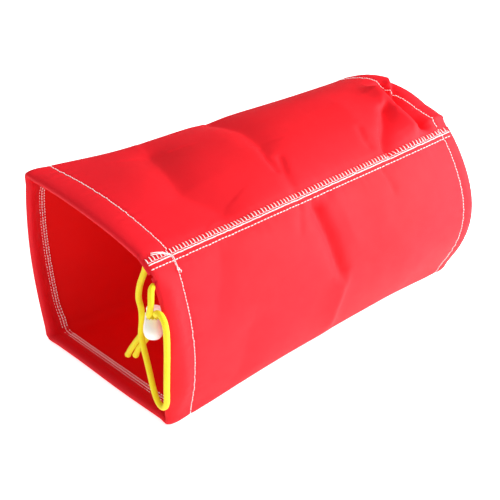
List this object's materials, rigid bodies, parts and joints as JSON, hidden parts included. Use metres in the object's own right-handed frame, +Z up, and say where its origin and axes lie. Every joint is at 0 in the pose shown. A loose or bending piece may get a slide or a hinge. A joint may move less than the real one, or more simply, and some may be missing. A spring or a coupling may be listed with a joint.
{
  "type": "fabric agility tunnel sleeve",
  "caption": "Open-ended coated fabric tunnel sleeve with a lapped side seam, stitched hems and a drawcord with a spring cord lock at one mouth.",
  "frame": {"origin": "centre of the tunnel's bounding box on the surface that it lies on, measured without the free ends of the drawcord and the cord lock", "axes": "+Z up, the bore runs along Y, the mouth with the drawcord faces -Y, and the seam runs along the +X, +Z shoulder"},
  "size_m": [0.2799, 0.4426, 0.2301],
  "materials": {
    "outer_cloth": "fine plain weave, coated, soft sheen",
    "inner_cloth": "smooth coated reverse of the same cloth",
    "thread": "white twisted polyester thread",
    "cord": "braided polyester cord",
    "lock_plastic": "moulded, satin gloss",
    "button_plastic": "moulded, milky and slightly see-through",
    "spring_steel": "bright spring wire"
  },
  "bodies": {
    "tunnel": {"main_panel": "outer_cloth", "front_hem_turnback": "inner_cloth", "rear_hem_turnback": "inner_cloth", "seam_overlock_thread": "thread", "seam_topstitch_thread": "thread", "seam_lockstitch_thread": "thread", "seam_topstitch_bobbin_thread": "thread", "seam_lockstitch_bobbin_thread": "thread", "front_hem_stitch_thread": "thread", "front_hem_bobbin_thread": "thread", "front_hem_overlock_thread": "thread", "rear_hem_stitch_thread": "thread", "rear_hem_bobbin_thread": "thread", "rear_hem_overlock_thread": "thread", "hem_thread_tail": "thread", "hem_thread_knot": "thread", "drawcord_channel_run": "cord", "drawcord_long_end": "cord", "drawcord_short_end": "cord"},
    "cord_lock": {"cord_lock_body": "lock_plastic", "cord_lock_spring": "spring_steel", "drawcord_long_tail": "cord", "drawcord_short_tail": "cord"},
    "lock_button": {"cord_lock_button": "button_plastic"}
  },
  "joints": [
    {"name": "lock_slide", "type": "slide", "parent": "tunnel", "child": "cord_lock", "axis": [0, 0, 1], "range_m": [0, 0.015], "deforming": ["drawcord_long_end", "drawcord_short_end"]},
    {"name": "button_press", "type": "slide", "parent": "cord_lock", "child": "lock_button", "axis": [0.5162, -0.5346, -0.6691], "range_m": [0, 0.0015], "stiffness_N_per_m": 1500, "springref_m": -0.003}
  ]
}
